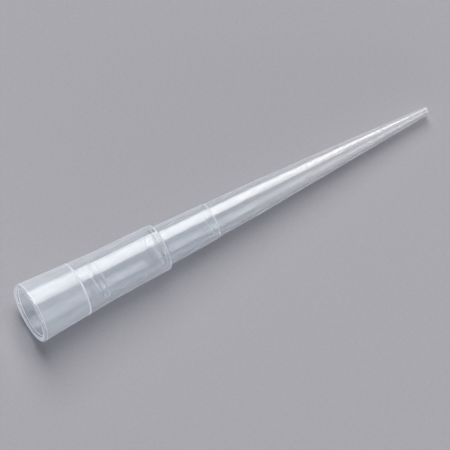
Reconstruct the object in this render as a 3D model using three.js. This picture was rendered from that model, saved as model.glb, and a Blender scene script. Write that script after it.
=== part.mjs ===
// A 200 microlitre pipette tip, moulded in one piece from natural polypropylene.
//
// It lies on its side, as it comes to rest on a bench: the mouth's outer edge and the edge of
// the first shoulder touch the bench, and the narrow end hangs just clear of it.
// Millimetres, +Z up. +X runs from the wide mouth to the narrow end, and the origin is under
// the middle of the tip, at bench height.

import * as THREE from "three";

// Stretches along the axis, in order from the mouth
const collarLength = 6.26; // mouth to the parting line
const skirtLength = 3.24; // parting line to the top of the body, on the collar's taper
const bodyLength = 7.77;
const neckLength = 6.73;
const upperConeLength = 5.62;
const middleConeLength = 11.88;
const lowerConeLength = 11.5;

// Outer radii where one stretch meets the next
const mouthRadius = 3.6;
const bodyTopRadius = 3.0;
const bodyEndRadius = 2.81;
const neckEndRadius = 2.185;
const upperConeEndRadius = 1.885;
const middleConeEndRadius = 1.18;
const endRadius = 0.45;

// Outer steps and edges
const shoulderHeight = 0.39; // the step, rounded over, where the body drops to the neck
const gradeHeight = 0.1; // the small step where the neck drops to the cone
const gradeRound = 0.06;
const rimRound = 0.2;
const endRound = 0.05;
const partingWidth = 0.2;
const partingHeight = 0.05;

// Walls, each at the radius of the same name
const socketWall = 0.62;
const bodyTopWall = 0.75;
const bodyEndWall = 0.69;
const neckTopWall = 0.54;
const neckEndWall = 0.48;
const upperConeEndWall = 0.34;
const middleConeEndWall = 0.24;
const endWall = 0.19;

// The socket that a pipette's nozzle is pushed into
const socketDepth = 8.9;
const leadInDepth = 0.35;
const leadInWidth = 0.1;
const seatSlope = 0.2; // length of the cone that narrows the socket to the body's bore
const beadCount = 2;
const lastBeadFromSeat = 0.66;
const beadSpacing = 2.98;
const beadWidth = 0.24;
const beadHeight = 0.04;
const boreStepLead = 0.42; // how far the bore narrows ahead of the outer shoulder
const boreStepLength = 0.5;

// Facets
const sides = 12; // a multiple of four, so that flats lie at the bottom, the top and both sides
const roundSteps = 4;

// Places along the axis
const partingPlace = collarLength;
const bodyTop = collarLength + skirtLength;
const bodyEnd = bodyTop + bodyLength;
const neckEnd = bodyEnd + neckLength;
const upperConeEnd = neckEnd + upperConeLength;
const middleConeEnd = upperConeEnd + middleConeLength;
const tipEnd = middleConeEnd + lowerConeLength;
const boreStepEnd = bodyEnd - boreStepLead;
const boreStepStart = boreStepEnd - boreStepLength;

const neckTopRadius = bodyEndRadius - shoulderHeight;
const coneTopRadius = neckEndRadius - gradeHeight;

// The collar and the skirt share one straight taper, outside and in.
function collarRadius(place) {
  return THREE.MathUtils.mapLinear(place, rimRound, bodyTop, mouthRadius, bodyTopRadius);
}

function socketRadius(place) {
  return collarRadius(place) - socketWall;
}

function bodyBoreRadius(place) {
  const top = bodyTopRadius - bodyTopWall;
  const end = bodyEndRadius - bodyEndWall;
  return THREE.MathUtils.mapLinear(place, bodyTop, bodyEnd, top, end);
}

// A profile point: its distance from the axis, then its place along the axis.
function point(radius, place) {
  return new THREE.Vector2(radius, place);
}

// A quarter round about a centre, from one compass angle to another, ends included.
function round(centre, size, from, to) {
  return Array.from({ length: roundSteps + 1 }, (_, step) => {
    const angle = THREE.MathUtils.lerp(from, to, step / roundSteps);
    return point(centre.x + size * Math.cos(angle), centre.y + size * Math.sin(angle));
  });
}

// A low ridge with a peaked section, standing out of a surface by height (inwards if negative).
function ridge(surface, place, width, height) {
  return [
    point(surface(place - width / 2), place - width / 2),
    point(surface(place) + height, place),
    point(surface(place + width / 2), place + width / 2),
  ];
}

// The outside, from the rim to the narrow end.
function outerProfile() {
  return [
    ...round(point(mouthRadius - rimRound, rimRound), rimRound, -Math.PI / 2, 0),
    ...ridge(collarRadius, partingPlace, partingWidth, partingHeight),
    point(bodyTopRadius, bodyTop),
    ...round(point(neckTopRadius, bodyEnd - shoulderHeight), shoulderHeight, 0, Math.PI / 2),
    ...round(point(neckEndRadius - gradeRound, neckEnd - gradeRound), gradeRound, 0, Math.PI / 2),
    point(coneTopRadius, neckEnd),
    point(upperConeEndRadius, upperConeEnd),
    point(middleConeEndRadius, middleConeEnd),
    ...round(point(endRadius - endRound, tipEnd - endRound), endRound, 0, Math.PI / 2),
  ];
}

// The bore, from the narrow end back to the rim.
function boreProfile() {
  const beads = Array.from({ length: beadCount }, (_, index) => {
    const place = socketDepth - lastBeadFromSeat - index * beadSpacing;
    return ridge(socketRadius, place, beadWidth, -beadHeight).reverse();
  });
  return [
    point(endRadius - endWall, tipEnd),
    point(middleConeEndRadius - middleConeEndWall, middleConeEnd),
    point(upperConeEndRadius - upperConeEndWall, upperConeEnd),
    point(neckEndRadius - neckEndWall, neckEnd),
    point(neckTopRadius - neckTopWall, boreStepEnd),
    point(bodyBoreRadius(boreStepStart), boreStepStart),
    point(bodyBoreRadius(socketDepth + seatSlope), socketDepth + seatSlope),
    point(socketRadius(socketDepth), socketDepth),
    ...beads.flat(),
    point(socketRadius(leadInDepth), leadInDepth),
    point(socketRadius(leadInDepth) + leadInWidth, 0),
  ];
}

// The flats of a many-sided ring touch the true circle, so its corners stand a little outside it.
function turnedSolid(profile) {
  const cornerShare = 1 / Math.cos(Math.PI / sides);
  const corners = profile.map((at) => point(at.x * cornerShare, at.y));
  const closed = [...corners, corners[0].clone()];
  return new THREE.LatheGeometry(closed, sides, Math.PI / sides);
}

// The tilt at which the mouth's edge and the shoulder's edge touch the bench together.
const restTilt = Math.atan2(
  mouthRadius - bodyEndRadius,
  bodyEnd - shoulderHeight - rimRound,
);

const polypropylene = new THREE.MeshStandardMaterial({
  color: new THREE.Color(0.86, 0.9, 0.93),
  roughness: 0.12,
  metalness: 0,
  transparent: true,
  opacity: 0.35,
});

const tip = new THREE.Mesh(turnedSolid([...outerProfile(), ...boreProfile()]), polypropylene);
tip.name = "pipette_tip";
tip.geometry.rotateX(Math.PI / 2);
tip.rotation.y = Math.PI / 2 + restTilt;

// Set down on the bench with the origin under its middle.
const box = new THREE.Box3().setFromObject(tip, true);
const middle = box.getCenter(new THREE.Vector3());
tip.position.set(-middle.x, -middle.y, -box.min.z);

const part = new THREE.Group();
part.add(tip);

export default part;
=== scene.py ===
import math

import bmesh
import bpy
from bpy.props import FloatProperty, FloatVectorProperty, IntProperty, PointerProperty
from bpy.types import Operator, Panel, PropertyGroup
from mathutils import Matrix, Vector


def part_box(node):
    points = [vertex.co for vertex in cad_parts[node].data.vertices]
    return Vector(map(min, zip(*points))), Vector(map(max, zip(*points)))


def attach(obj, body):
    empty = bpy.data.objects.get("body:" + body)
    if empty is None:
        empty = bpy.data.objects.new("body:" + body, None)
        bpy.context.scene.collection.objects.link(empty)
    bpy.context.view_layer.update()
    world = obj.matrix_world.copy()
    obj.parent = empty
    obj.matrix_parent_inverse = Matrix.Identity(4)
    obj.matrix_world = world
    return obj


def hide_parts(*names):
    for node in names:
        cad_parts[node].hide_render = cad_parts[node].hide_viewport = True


bl_info = {
    "name": "Pipette Tip",
    "version": (1, 0, 0),
    "blender": (4, 5, 0),
    "location": "3D View > Sidebar > Pipette Tip",
    "description": "Builds a moulded pipette tip and the bench and lights it is shown with",
    "category": "Object",
}

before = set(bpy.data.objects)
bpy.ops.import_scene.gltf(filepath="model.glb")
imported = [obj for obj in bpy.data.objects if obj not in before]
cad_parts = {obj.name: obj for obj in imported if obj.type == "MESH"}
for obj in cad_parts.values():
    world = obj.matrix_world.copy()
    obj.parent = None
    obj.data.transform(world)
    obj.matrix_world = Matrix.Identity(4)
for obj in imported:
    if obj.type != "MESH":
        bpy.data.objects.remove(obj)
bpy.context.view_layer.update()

SOLID = "pipette_tip"
FROST = "frost"  # the mesh's own value for how frosted it is, from 0 to 1

NOISE_MIDDLE = 0.5

# A fine frosted line behind the rim: its whitest place and its end, in rim roundings
RIM_LINE = 1.7
RIM_LINE_END = 2.0

MOST_OF_RUN = 0.45  # share of a straight run that one rounding may take
LEAST_REACH = 1e-7  # a rounding that takes less of its runs than this is left sharp
LEAST_RUN = 4  # a straight run up to this many edge supports long gets none
FEWEST_STEPS = 2


# Shader nodes ---------------------------------------------------------------------------


class Value:
    """A number in a shader: a socket that takes part in Python arithmetic."""

    def __init__(self, shader, socket):
        self.shader = shader
        self.socket = socket

    def math(self, operation, *others):
        return self.shader.node("ShaderNodeMath", {"operation": operation}, [self, *others])

    def __add__(self, other):
        return self.math("ADD", other)

    def __radd__(self, other):
        return self.math("ADD", other)

    def __sub__(self, other):
        return self.math("SUBTRACT", other)

    def __mul__(self, other):
        return self.math("MULTIPLY", other)

    def __rmul__(self, other):
        return self.math("MULTIPLY", other)


class Shader:
    """A material's or a world's node tree, emptied and ready to be filled."""

    def __init__(self, owner):
        owner.use_nodes = True
        self.tree = owner.node_tree
        self.tree.nodes.clear()

    def node(self, kind, settings=None, sockets=None, output=0):
        """Adds a node with its settings and its sockets' values or links.

        Sockets are a dict by name or a list in the node's own order.
        """
        made = self.tree.nodes.new(kind)
        for name, setting in (settings or {}).items():
            setattr(made, name, setting)
        given = sockets or {}
        pairs = given.items() if isinstance(given, dict) else enumerate(given)
        for key, value in pairs:
            if isinstance(value, Value):
                self.tree.links.new(value.socket, made.inputs[key])
            else:
                made.inputs[key].default_value = value
        return Value(self, made.outputs[output]) if made.outputs else None

    def mix(self, share, first, second):
        """A colour between two others."""
        settings = {"data_type": "RGBA"}
        # A colour Mix keeps its factor, its two colours and its result at these places.
        sockets = {0: share, 6: first, 7: second}
        return self.node("ShaderNodeMix", settings, sockets, output=2)

    def noise(self, place, scale, detail):
        """An even cloud of values about a middle one."""
        sockets = {"Vector": place, "Scale": scale, "Detail": detail}
        return self.node("ShaderNodeTexNoise", None, sockets)

    def rise(self, value, start, end):
        """Rises from 0 at the start to 1 at the end, and is level beyond them."""
        return self.node("ShaderNodeMapRange", None, [value, start, end, 0.0, 1.0])


def opaque(colour):
    return (*colour, 1.0)


def mould_marks(shader, place, finish):
    """The faint relief that the mould leaves."""
    sockets = {
        "Strength": finish.grain_strength,
        "Distance": finish.grain_height,
        "Height": shader.noise(place, finish.grain_scale, finish.grain_detail),
    }
    return shader.node("ShaderNodeBump", None, sockets)


def clear_wall(shader, place, cloud, marks, finish):
    """Clear plastic, a little bluer where the wall is thick."""
    along = shader.node("ShaderNodeSeparateXYZ", None, [place])
    thin = shader.rise(along, finish.thick_until, finish.thin_from)
    thick_tint = shader.mix(cloud, opaque(finish.warm_tint), opaque(finish.cool_tint))
    sockets = {
        "Base Color": shader.mix(thin, thick_tint, opaque(finish.thin_tint)),
        "Roughness": finish.roughness + finish.roughness_spread * (cloud - NOISE_MIDDLE),
        "IOR": finish.refraction,
        "Transmission Weight": finish.clearness,
        "Sheen Weight": finish.sheen,
        "Sheen Roughness": finish.sheen_roughness,
        "Sheen Tint": opaque(finish.sheen_tint),
        "Normal": marks,
    }
    return shader.node("ShaderNodeBsdfPrincipled", None, sockets)


def frosted_edge(shader, marks, finish):
    """The rough, white surface of the small edges and of the parting line."""
    sockets = {
        "Base Color": opaque(finish.frost_tint),
        "Roughness": finish.frost_roughness,
        "IOR": finish.refraction,
        "Transmission Weight": finish.frost_clearness,
        "Normal": marks,
    }
    return shader.node("ShaderNodeBsdfPrincipled", None, sockets)


def whiteness(shader, cloud, finish):
    """The share of frosted surface: on the frosted edges, and where the wall is seen edge on."""
    edges = shader.node("ShaderNodeAttribute", {"attribute_name": FROST}, output="Fac")
    sockets = {"Blend": finish.edge_milk_blend}
    grazing = shader.node("ShaderNodeLayerWeight", None, sockets, output="Facing")
    milk = finish.frost + finish.frost_spread * (cloud - NOISE_MIDDLE)
    return edges * milk + finish.edge_milk * grazing * grazing


def clear_plastic(finish):
    """Natural polypropylene: clear, faintly milky, and white where its edges are frosted."""
    material = bpy.data.materials.new("clear polypropylene")
    shader = Shader(material)
    place = shader.node("ShaderNodeTexCoord", output="Object")
    stretch = (finish.drawn_out, 1.0, 1.0)
    drawn = shader.node("ShaderNodeVectorMath", {"operation": "MULTIPLY"}, [place, stretch])
    cloud = shader.noise(drawn, finish.cloud_scale, finish.cloud_detail)
    marks = mould_marks(shader, drawn, finish)
    clear = clear_wall(shader, place, cloud, marks, finish)
    frosted = frosted_edge(shader, marks, finish)
    white = whiteness(shader, cloud, finish)
    plastic = shader.node("ShaderNodeMixShader", None, [white, clear, frosted])
    # A lamp's light goes straight through each wall, dimmed, so the shadow stays light.
    dimmed = shader.node("ShaderNodeBsdfTransparent", None, {"Color": opaque(finish.shade)})
    shadow = shader.node("ShaderNodeLightPath", output="Is Shadow Ray")
    surface = shader.node("ShaderNodeMixShader", None, [shadow, plastic, dimmed])
    shader.node("ShaderNodeOutputMaterial", None, {"Surface": surface})
    return material


def bench_surface(studio):
    """A plain pale bench top with a fine, even grain."""
    material = bpy.data.materials.new("bench")
    shader = Shader(material)
    place = shader.node("ShaderNodeTexCoord", output="Object")
    speck = shader.noise(place, studio.bench_grain_scale, studio.bench_grain_detail)
    sockets = {
        "Base Color": shader.mix(speck, opaque(studio.bench_dark), opaque(studio.bench_light)),
        "Roughness": studio.bench_roughness,
        "Specular IOR Level": studio.bench_gloss,
    }
    surface = shader.node("ShaderNodeBsdfPrincipled", None, sockets)
    shader.node("ShaderNodeOutputMaterial", None, {"Surface": surface})
    return material


# Shapes ---------------------------------------------------------------------------------


class Corner:
    """A corner of a section: its distance from the axis, its place along it, its rounding.

    Frost is how rough and white the rounding is, and flat is the frost of the run after it.
    """

    def __init__(self, radius, place, rounding=0.0, frost=0.0, flat=0.0):
        self.at = Vector((radius, place))
        self.rounding = rounding
        self.frost = frost
        self.flat = flat


def arc(corner, before, after, reach, bend, turn):
    """Points round a circle that touches both of a corner's runs, at reach along each."""
    size = reach / math.tan(bend / 2)
    middle = corner + (before + after).normalized() * math.hypot(size, reach)
    first = corner + before * reach - middle
    last = corner + after * reach - middle
    sense = 1.0 if first.cross(last) > 0 else -1.0
    steps = max(FEWEST_STEPS, math.ceil(bend / turn))
    spins = [Matrix.Rotation(sense * bend * step / steps, 2) for step in range(steps + 1)]
    return [middle + spin @ first for spin in spins]


def rounded(corners, turn, edge):
    """The closed section through the corners, as points that each have their frost.

    Each corner is rounded with one step for each turn. Every straight run gets an extra
    point just inside each end, so that smooth shading doesn't bend the light along it.
    """
    section = []
    for index, corner in enumerate(corners):
        earlier = corners[index - 1]
        later = corners[(index + 1) % len(corners)]
        run_before = earlier.at - corner.at
        run_after = later.at - corner.at
        bend = math.pi - run_before.angle(run_after)
        room = MOST_OF_RUN * min(run_before.length, run_after.length)
        reach = min(corner.rounding * math.tan(bend / 2), room)
        if reach < LEAST_REACH:
            section.append((corner.at.copy(), corner.frost))
            continue
        before = run_before.normalized()
        after = run_after.normalized()
        if run_before.length - reach > LEAST_RUN * edge:
            section.append((corner.at + before * reach + before * edge, earlier.flat))
        points = arc(corner.at, before, after, reach, bend, turn)
        section += [(at, corner.frost) for at in points]
        if run_after.length - reach > LEAST_RUN * edge:
            section.append((corner.at + after * reach + after * edge, corner.flat))
    return section


def turned(name, section, sides, middle, axis):
    """A ring-shaped mesh: the closed section turned about an axis that starts at middle."""
    up = Vector((-axis.z, 0.0, axis.x))
    across = Vector((0.0, 1.0, 0.0))
    shape = bmesh.new()
    frost = shape.verts.layers.float.new(FROST)
    rings = []
    for side in range(sides):
        bearing = math.tau * side / sides
        out = up * math.cos(bearing) + across * math.sin(bearing)
        ring = []
        for at, white in section:
            corner = shape.verts.new(middle + axis * at.y + out * at.x)
            corner[frost] = white
            ring.append(corner)
        rings.append(ring)
    for side, ring in enumerate(rings):
        following = rings[(side + 1) % sides]
        for index in range(len(section)):
            after = (index + 1) % len(section)
            face = shape.faces.new((ring[index], following[index], following[after], ring[after]))
            face.smooth = True
    bmesh.ops.recalc_face_normals(shape, faces=shape.faces)
    mesh = bpy.data.meshes.new(name)
    shape.to_mesh(mesh)
    shape.free()
    piece = bpy.data.objects.new(name, mesh)
    bpy.context.scene.collection.objects.link(piece)
    return piece


def between(place, start, end, start_radius, end_radius):
    """The radius at a place on a straight taper."""
    return start_radius + (end_radius - start_radius) * (place - start) / (end - start)


class Section:
    """Every place and radius of the tip's section, worked out from its sizes."""

    def __init__(self, sizes):
        self.sizes = sizes
        self.body_top = sizes.collar_length + sizes.skirt_length
        self.body_end = self.body_top + sizes.body_length
        self.neck_end = self.body_end + sizes.neck_length
        self.upper_end = self.neck_end + sizes.upper_cone_length
        self.middle_end = self.upper_end + sizes.middle_cone_length
        self.tip_end = self.middle_end + sizes.lower_cone_length
        self.neck_top_radius = sizes.body_end_radius - sizes.shoulder_height
        self.cone_top_radius = sizes.neck_end_radius - sizes.grade_height

    def collar(self, place):
        sizes = self.sizes
        return between(
            place, sizes.rim_round, self.body_top, sizes.mouth_radius, sizes.body_top_radius
        )

    def socket(self, place):
        return self.collar(place) - self.sizes.socket_wall

    def body_bore(self, place):
        sizes = self.sizes
        return between(
            place,
            self.body_top,
            self.body_end,
            sizes.body_top_radius - sizes.body_top_wall,
            sizes.body_end_radius - sizes.body_end_wall,
        )

    def rest_tilt(self):
        """The slope of the axis when the mouth's and the shoulder's edges touch the bench."""
        sizes = self.sizes
        return math.atan2(
            sizes.mouth_radius - sizes.body_end_radius,
            self.body_end - sizes.shoulder_height - sizes.rim_round,
        )

    def outside(self):
        """The outer corners, from the rim to the narrow end."""
        sizes = self.sizes
        parting = sizes.collar_length
        half = sizes.parting_width / 2
        soft = sizes.soft_round
        line = RIM_LINE * sizes.rim_round
        line_end = RIM_LINE_END * sizes.rim_round
        return [
            # Rim
            Corner(self.collar(0.0), 0.0, sizes.rim_round, frost=0.1, flat=0.1),
            Corner(self.collar(line), line, frost=0.7),
            Corner(self.collar(line_end), line_end, frost=0.28, flat=0.28),
            # Parting line
            Corner(self.collar(parting - half), parting - half, half / 2, frost=0.6, flat=0.9),
            Corner(
                self.collar(parting) + sizes.parting_height,
                parting,
                half / 2,
                frost=1.0,
                flat=0.9,
            ),
            Corner(self.collar(parting + half), parting + half, half / 2, frost=0.6, flat=0.14),
            # Body
            Corner(sizes.body_top_radius, self.body_top, soft, frost=0.13, flat=0.13),
            Corner(
                sizes.body_end_radius,
                self.body_end,
                sizes.shoulder_height - sizes.root_round,
                frost=0.6,
            ),
            # Neck
            Corner(self.neck_top_radius, self.body_end, sizes.root_round, frost=0.8, flat=0.1),
            Corner(sizes.neck_end_radius, self.neck_end, sizes.grade_round, frost=1.0, flat=1.0),
            # Cone
            Corner(
                self.cone_top_radius,
                self.neck_end,
                sizes.grade_height - sizes.grade_round,
                frost=0.8,
                flat=0.06,
            ),
            Corner(sizes.upper_cone_end_radius, self.upper_end, soft, frost=0.07, flat=0.07),
            Corner(sizes.middle_cone_end_radius, self.middle_end, soft, frost=0.1, flat=0.1),
            Corner(sizes.end_radius, self.tip_end, sizes.end_round, frost=1.0, flat=0.8),
        ]

    def inside(self):
        """The bore's corners, from the narrow end back to the rim."""
        sizes = self.sizes
        soft = sizes.soft_round
        edge = sizes.bore_edge_round
        step_end = self.body_end - sizes.bore_step_lead
        step_start = step_end - sizes.bore_step_length
        seat_end = sizes.socket_depth + sizes.seat_slope
        half = sizes.bead_width / 2
        corners = [
            Corner(
                sizes.end_radius - sizes.end_wall, self.tip_end, sizes.end_round / 2, frost=0.8
            ),
            Corner(
                sizes.middle_cone_end_radius - sizes.middle_cone_end_wall, self.middle_end, soft
            ),
            Corner(sizes.upper_cone_end_radius - sizes.upper_cone_end_wall, self.upper_end, soft),
            Corner(sizes.neck_end_radius - sizes.neck_end_wall, self.neck_end, soft),
            Corner(self.neck_top_radius - sizes.neck_top_wall, step_end, edge, frost=0.5),
            Corner(self.body_bore(step_start), step_start, edge, frost=0.3),
            Corner(self.body_bore(seat_end), seat_end, edge, frost=0.6, flat=0.5),
            Corner(self.socket(sizes.socket_depth), sizes.socket_depth, edge, frost=0.3),
        ]
        for bead in range(sizes.bead_count):
            place = sizes.socket_depth - sizes.last_bead_from_seat - bead * sizes.bead_spacing
            corners += [
                Corner(self.socket(place + half), place + half, half / 2),
                Corner(self.socket(place) - sizes.bead_height, place, half / 2),
                Corner(self.socket(place - half), place - half, half / 2),
            ]
        lead = sizes.lead_in_depth
        return corners + [
            Corner(self.socket(lead), lead, sizes.lead_in_round, frost=0.9),
            Corner(
                self.socket(lead) + sizes.lead_in_width,
                0.0,
                sizes.lead_in_round / 2,
                frost=0.7,
                flat=0.95,
            ),
        ]


# Sizes and finishes ---------------------------------------------------------------------


def length(name, description, millimetres):
    """A length that is given here in millimetres and kept in metres."""
    return FloatProperty(
        name=name,
        description=description,
        default=millimetres / 1000,
        precision=5,
        unit="LENGTH",
    )


def amount(name, description, default, most=1.0):
    return FloatProperty(name=name, description=description, default=default, min=0.0, max=most)


def colour(name, description, default):
    return FloatVectorProperty(
        name=name, description=description, default=default, min=0.0, max=1.0, subtype="COLOR"
    )


def angle(name, description, degrees):
    return FloatProperty(
        name=name, description=description, default=math.radians(degrees), unit="ROTATION"
    )


class TipSizes(PropertyGroup):
    """The tip's sizes: the CAD model's own, and the finer roundings that it leaves out"""

    collar_length: length("Collar length", "From the mouth to the parting line", 6.26)
    skirt_length: length("Skirt length", "From the parting line to the top of the body", 3.24)
    body_length: length("Body length", "From the top of the body to the shoulder", 7.77)
    neck_length: length("Neck length", "From the shoulder to the small step", 6.73)
    upper_cone_length: length("Upper cone length", "The cone's first stretch", 5.62)
    middle_cone_length: length("Middle cone length", "The cone's second stretch", 11.88)
    lower_cone_length: length("Lower cone length", "The cone's last stretch", 11.5)

    mouth_radius: length("Mouth radius", "Outside, just behind the rim's rounding", 3.6)
    body_top_radius: length("Body top radius", "Outside", 3.0)
    body_end_radius: length("Body end radius", "Outside, at the shoulder", 2.81)
    neck_end_radius: length("Neck end radius", "Outside, at the small step", 2.185)
    upper_cone_end_radius: length("Upper cone end radius", "Outside", 1.885)
    middle_cone_end_radius: length("Middle cone end radius", "Outside", 1.18)
    end_radius: length("End radius", "Outside, at the narrow end", 0.45)

    shoulder_height: length("Shoulder height", "Step from the body to the neck", 0.39)
    root_round: length("Root rounding", "Inside corner at the foot of the shoulder", 0.06)
    grade_height: length("Small step height", "Step from the neck to the cone", 0.1)
    grade_round: length("Small step rounding", "Outer edge of the small step", 0.06)
    rim_round: length("Rim rounding", "Outer edge of the mouth", 0.2)
    end_round: length("End rounding", "Edges of the narrow end", 0.05)
    parting_width: length("Parting line width", "Low ridge where the mould's halves meet", 0.2)
    parting_height: length("Parting line height", "How far the ridge stands out", 0.05)
    soft_round: length("Soft rounding", "Radius where one taper runs into the next", 40.0)

    socket_wall: length("Socket wall", "Wall of the collar and the skirt", 0.62)
    body_top_wall: length("Body top wall", "Wall at the top of the body", 0.75)
    body_end_wall: length("Body end wall", "Wall just above the shoulder", 0.69)
    neck_top_wall: length("Neck top wall", "Wall below the shoulder", 0.54)
    neck_end_wall: length("Neck end wall", "Wall at the small step", 0.48)
    upper_cone_end_wall: length("Upper cone end wall", "Wall", 0.34)
    middle_cone_end_wall: length("Middle cone end wall", "Wall", 0.24)
    end_wall: length("End wall", "Wall at the narrow end", 0.19)

    socket_depth: length("Socket depth", "How deep the nozzle's socket is", 8.9)
    lead_in_depth: length("Lead-in depth", "Chamfer at the socket's mouth", 0.35)
    lead_in_width: length("Lead-in width", "Chamfer at the socket's mouth", 0.1)
    lead_in_round: length("Lead-in rounding", "Edges of the lead-in chamfer", 0.3)
    seat_slope: length("Seat slope", "Cone that narrows the socket to the bore", 0.2)
    bore_step_lead: length("Bore step lead", "How far the bore narrows before the shoulder", 0.42)
    bore_step_length: length("Bore step length", "Cone that narrows the bore at the neck", 0.5)
    bore_edge_round: length("Bore edge rounding", "Edges inside the bore", 0.15)
    bead_count: IntProperty(
        name="Sealing rings", description="Low rings inside the socket", default=2, min=0, max=4
    )
    last_bead_from_seat: length("Last ring from seat", "Ring nearest the socket's end", 0.66)
    bead_spacing: length("Ring spacing", "From one sealing ring to the next", 2.98)
    bead_width: length("Ring width", "Along the socket", 0.24)
    bead_height: length("Ring height", "How far a sealing ring stands in", 0.04)

    sides: IntProperty(
        name="Sides", description="Steps round the tip", default=320, min=32, max=512
    )
    turn: angle("Edge steps", "Turn of each step round a rounded edge", 9.0)
    edge: length("Edge support", "Where each straight run is held straight", 0.02)


class TipFinish(PropertyGroup):
    """How the plastic looks"""

    warm_tint: colour("Warm tint", "Thick wall where it is milkiest", (0.93, 0.96, 1.0))
    cool_tint: colour("Cool tint", "Thick wall where it is clearest", (0.9, 0.945, 1.0))
    thin_tint: colour("Thin wall tint", "Where the wall is thin", (0.98, 0.985, 1.0))
    thick_until: length("Thick wall end", "Along the tip from its middle", -6.0)
    thin_from: length("Thin wall start", "Along the tip from its middle", 12.0)
    shade: colour("Shade", "What each wall leaves of a lamp's light", (0.34, 0.34, 0.34))
    refraction: amount("Refraction", "Index of refraction", 1.49, 3.0)
    clearness: amount("Clearness", "Share of the light that goes through", 0.89)
    sheen: amount("Milky sheen", "Soft light that the edges of the shape give back", 0.6)
    sheen_roughness: amount("Milky sheen spread", "How far in from the edges it reaches", 0.2)
    sheen_tint: colour("Milky sheen tint", "Its colour", (0.88, 0.95, 1.0))
    edge_milk: amount("Edge milk", "Milkiness where the wall is seen edge on", 0.8, 2.0)
    edge_milk_blend: amount("Edge milk spread", "How far in from the edges it reaches", 0.3)
    frost: amount("Frost", "How white the frosted edges and the parting line are", 0.95)
    frost_spread: amount("Frost spread", "How the whiteness varies", 1.2, 2.0)
    frost_tint: colour("Frost tint", "Colour of the frosted edges", (0.86, 0.905, 0.985))
    frost_clearness: amount("Frost clearness", "Light that goes through the frost", 0.1)
    frost_roughness: amount("Frost roughness", "How dull the frost is", 0.5)
    roughness: amount("Roughness", "Average gloss", 0.055)
    roughness_spread: amount("Roughness spread", "How the gloss varies", 0.05)
    drawn_out: amount("Drawn out", "Scale of milkiness and marks along the tip", 0.2)
    cloud_scale: amount("Cloud scale", "How fine the milkiness is", 700.0, 5000.0)
    cloud_detail: amount("Cloud detail", "Finer layers in the milkiness", 3.0, 15.0)
    grain_scale: amount("Grain scale", "How fine the mould's marks are", 2200.0, 9000.0)
    grain_detail: amount("Grain detail", "Finer layers in the mould's marks", 2.0, 15.0)
    grain_strength: amount("Grain strength", "How much the mould's marks show", 0.04)
    grain_height: length("Grain height", "Depth of the mould's marks", 0.004)


class Studio(PropertyGroup):
    """The bench, the lamps and the view"""

    bench_light: colour("Bench", "Bench top", (0.45, 0.444, 0.49))
    bench_dark: colour("Bench specks", "Fine grain in the bench top", (0.389, 0.384, 0.424))
    bench_size: length("Bench size", "Half the width of the bench", 4000.0)
    bench_grain_scale: amount("Bench grain", "How fine the bench's grain is", 2500.0, 9000.0)
    bench_grain_detail: amount("Bench grain detail", "Finer layers in the grain", 4.0, 15.0)
    bench_roughness: amount("Bench roughness", "How dull the bench is", 0.6)
    bench_gloss: amount("Bench gloss", "How much the bench reflects", 0.15)
    softbox_radiance: amount("Softbox brightness", "Against white at 1", 6.9, 50.0)
    softbox_width: length("Softbox width", "Along the tip", 780.0)
    softbox_height: length("Softbox height", "From high up down towards the back", 1700.0)
    softbox_distance: length("Softbox distance", "From the tip", 1800.0)
    softbox_elevation: angle("Softbox elevation", "Of its middle, above the bench", 57.0)
    softbox_heading: angle("Softbox heading", "From behind the tip", 0.0)
    softbox_shift: length("Softbox shift", "Along the tip, towards its narrow end", 510.0)
    softbox_colour: colour("Softbox colour", "Of its light", (1.0, 0.98, 0.95))
    top_radiance: amount("Top strip brightness", "Against white at 1", 4.7, 50.0)
    top_height: length("Top strip height", "From the softbox's top edge to overhead", 400.0)
    top_elevation: angle("Top strip elevation", "Of its middle, above the bench", 88.7)
    card_radiance: amount("Fill card brightness", "Against white at 1", 6.5, 50.0)
    card_width: length("Fill card width", "Level", 2700.0)
    card_height: length("Fill card height", "From the bench up", 390.0)
    card_distance: length("Fill card distance", "From the tip", 1800.0)
    card_elevation: angle("Fill card elevation", "Of its middle, above the bench", 6.3)
    card_heading: angle("Fill card heading", "From behind the tip", 225.0)
    card_colour: colour("Fill card colour", "Of its light", (1.0, 0.98, 0.96))
    room: amount("Room light", "Even light from all round", 0.2, 5.0)
    room_colour: colour("Room colour", "Of the light from all round", (0.9, 0.96, 1.0))
    view_heading: angle("View heading", "From square on to the tip", -30.83)
    view_elevation: angle("View elevation", "Above the bench", 63.9)
    view_distance: length("View distance", "From the camera to the tip", 1100.0)
    view_width: length("View width", "Width of the view at the tip", 51.07)
    view_right: length("View right", "Middle of the view from the mouth, to the right", 22.24)
    view_up: length("View up", "Middle of the view from the mouth, upwards", 10.07)


# Operators ------------------------------------------------------------------------------


def mouth_and_axis(section):
    """Where the middle of the mouth lies, and the way the tip's axis runs from it."""
    tilt = section.rest_tilt()
    sizes = section.sizes
    low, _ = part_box(SOLID)
    rim = sizes.mouth_radius - sizes.rim_round
    height = sizes.rim_round * math.sin(tilt) + sizes.mouth_radius * math.cos(tilt)
    mouth = Vector((low[0] + rim * math.sin(tilt), 0.0, low[2] + height))
    return mouth, Vector((math.cos(tilt), 0.0, -math.sin(tilt)))


class PIPETTE_OT_tip(Operator):
    """Build the moulded tip with its finely rounded edges and clear plastic"""

    bl_idname = "pipette.tip"
    bl_label = "Build tip"

    def execute(self, context):
        scene = context.scene
        sizes = scene.tip_sizes
        section = Section(sizes)
        outline = rounded(section.outside() + section.inside(), sizes.turn, sizes.edge)
        mouth, axis = mouth_and_axis(section)
        tip = turned("moulded_tip", outline, sizes.sides, mouth, axis)
        tip.data.materials.append(clear_plastic(scene.tip_finish))
        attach(tip, "root")
        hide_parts(SOLID)
        return {"FINISHED"}


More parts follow.
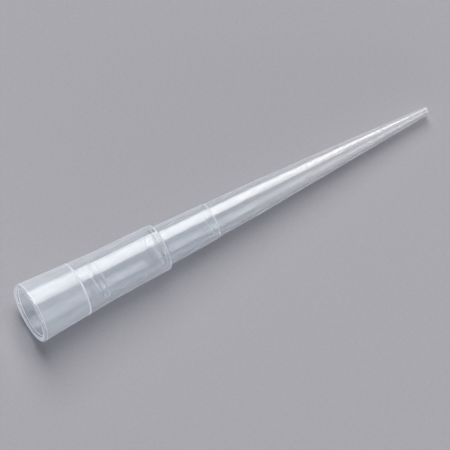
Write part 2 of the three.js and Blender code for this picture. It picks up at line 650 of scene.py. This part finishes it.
class PIPETTE_OT_stage(Operator):
    """Lay the bench, hang the lamps and set the camera"""

    bl_idname = "pipette.stage"
    bl_label = "Set the stage"

    def execute(self, context):
        scene = context.scene
        studio = scene.tip_studio
        self.lay_bench(scene, studio)
        self.hang_lamp(
            scene,
            "softbox",
            brightness=(studio.softbox_radiance, studio.softbox_colour),
            size=(studio.softbox_width, studio.softbox_height),
            heading=studio.softbox_heading,
            elevation=studio.softbox_elevation,
            distance=studio.softbox_distance,
            shift=studio.softbox_shift,
        )
        self.hang_lamp(
            scene,
            "top_strip",
            brightness=(studio.top_radiance, studio.softbox_colour),
            size=(studio.softbox_width, studio.top_height),
            heading=studio.softbox_heading,
            elevation=studio.top_elevation,
            distance=studio.softbox_distance,
            shift=studio.softbox_shift,
        )
        self.hang_lamp(
            scene,
            "fill_card",
            brightness=(studio.card_radiance, studio.card_colour),
            size=(studio.card_width, studio.card_height),
            heading=studio.card_heading,
            elevation=studio.card_elevation,
            distance=studio.card_distance,
        )
        self.light_room(scene, studio)
        self.set_camera(scene, studio)
        scene.view_settings.view_transform = "Standard"
        return {"FINISHED"}

    def lay_bench(self, scene, studio):
        half = studio.bench_size
        mesh = bpy.data.meshes.new("bench")
        corners = [(-half, -half, 0.0), (half, -half, 0.0), (half, half, 0.0), (-half, half, 0.0)]
        mesh.from_pydata(corners, [], [(0, 1, 2, 3)])
        mesh.materials.append(bench_surface(studio))
        bench = bpy.data.objects.new("bench", mesh)
        scene.collection.objects.link(bench)

    def hang_lamp(
        self, scene, name, brightness, size, heading, elevation, distance, shift=0.0
    ):
        """Hangs a flat, even lamp that faces the tip's middle, or a place shifted along +X."""
        radiance, tint = brightness
        width, height = size
        lamp = bpy.data.lights.new(name, "AREA")
        lamp.shape = "RECTANGLE"
        lamp.size = width
        lamp.size_y = height
        lamp.color = tint
        # An area lamp's power is pi times its brightness over its area.
        lamp.energy = math.pi * radiance * width * height
        hung = bpy.data.objects.new(name, lamp)
        level = math.cos(elevation)
        towards = Vector(
            (level * math.sin(heading), level * math.cos(heading), math.sin(elevation))
        )
        hung.location = towards * distance + Vector((shift, 0.0, 0.0))
        hung.rotation_mode = "QUATERNION"
        hung.rotation_quaternion = towards.to_track_quat("Z", "Y")
        hung.visible_camera = False
        scene.collection.objects.link(hung)

    def light_room(self, scene, studio):
        world = bpy.data.worlds.new("room")
        shader = Shader(world)
        light = shader.node(
            "ShaderNodeBackground",
            None,
            {"Color": opaque(studio.room_colour), "Strength": studio.room},
        )
        shader.node("ShaderNodeOutputWorld", None, {"Surface": light})
        scene.world = world

    def set_camera(self, scene, studio):
        """Aims a long lens at a place measured from the middle of the mouth."""
        heading = studio.view_heading
        rise = studio.view_elevation
        right = Vector((math.cos(heading), math.sin(heading), 0.0))
        back = Vector(
            (
                math.sin(heading) * math.cos(rise),
                -math.cos(heading) * math.cos(rise),
                math.sin(rise),
            )
        )
        up = back.cross(right)
        mouth, _ = mouth_and_axis(Section(scene.tip_sizes))
        aim = mouth + right * studio.view_right + up * studio.view_up
        lens = bpy.data.cameras.new("camera")
        lens.lens = lens.sensor_width * studio.view_distance / studio.view_width
        lens.clip_start = 0.01
        lens.clip_end = 20.0
        camera = bpy.data.objects.new("camera", lens)
        camera.location = aim + back * studio.view_distance
        camera.rotation_mode = "QUATERNION"
        turn = Matrix((right, up, back)).transposed()
        camera.rotation_quaternion = turn.to_quaternion()
        scene.collection.objects.link(camera)
        scene.camera = camera


class PIPETTE_PT_panel(Panel):
    """Lists the builders and their sizes in the sidebar"""

    bl_idname = "PIPETTE_PT_panel"
    bl_label = "Pipette Tip"
    bl_space_type = "VIEW_3D"
    bl_region_type = "UI"
    bl_category = "Pipette Tip"

    def draw(self, context):
        layout = self.layout
        layout.operator(PIPETTE_OT_tip.bl_idname)
        layout.operator(PIPETTE_OT_stage.bl_idname)
        for group in (context.scene.tip_sizes, context.scene.tip_finish, context.scene.tip_studio):
            box = layout.box()
            for name in group.bl_rna.properties.keys():
                if name not in {"rna_type", "name"}:
                    box.prop(group, name)


CLASSES = (TipSizes, TipFinish, Studio, PIPETTE_OT_tip, PIPETTE_OT_stage, PIPETTE_PT_panel)


def register():
    for each in CLASSES:
        bpy.utils.register_class(each)
    bpy.types.Scene.tip_sizes = PointerProperty(type=TipSizes)
    bpy.types.Scene.tip_finish = PointerProperty(type=TipFinish)
    bpy.types.Scene.tip_studio = PointerProperty(type=Studio)


def unregister():
    del bpy.types.Scene.tip_studio
    del bpy.types.Scene.tip_finish
    del bpy.types.Scene.tip_sizes
    for each in reversed(CLASSES):
        bpy.utils.unregister_class(each)


def main():
    register()
    bpy.ops.pipette.tip()
    bpy.ops.pipette.stage()


if __name__ == "__main__":
    main()
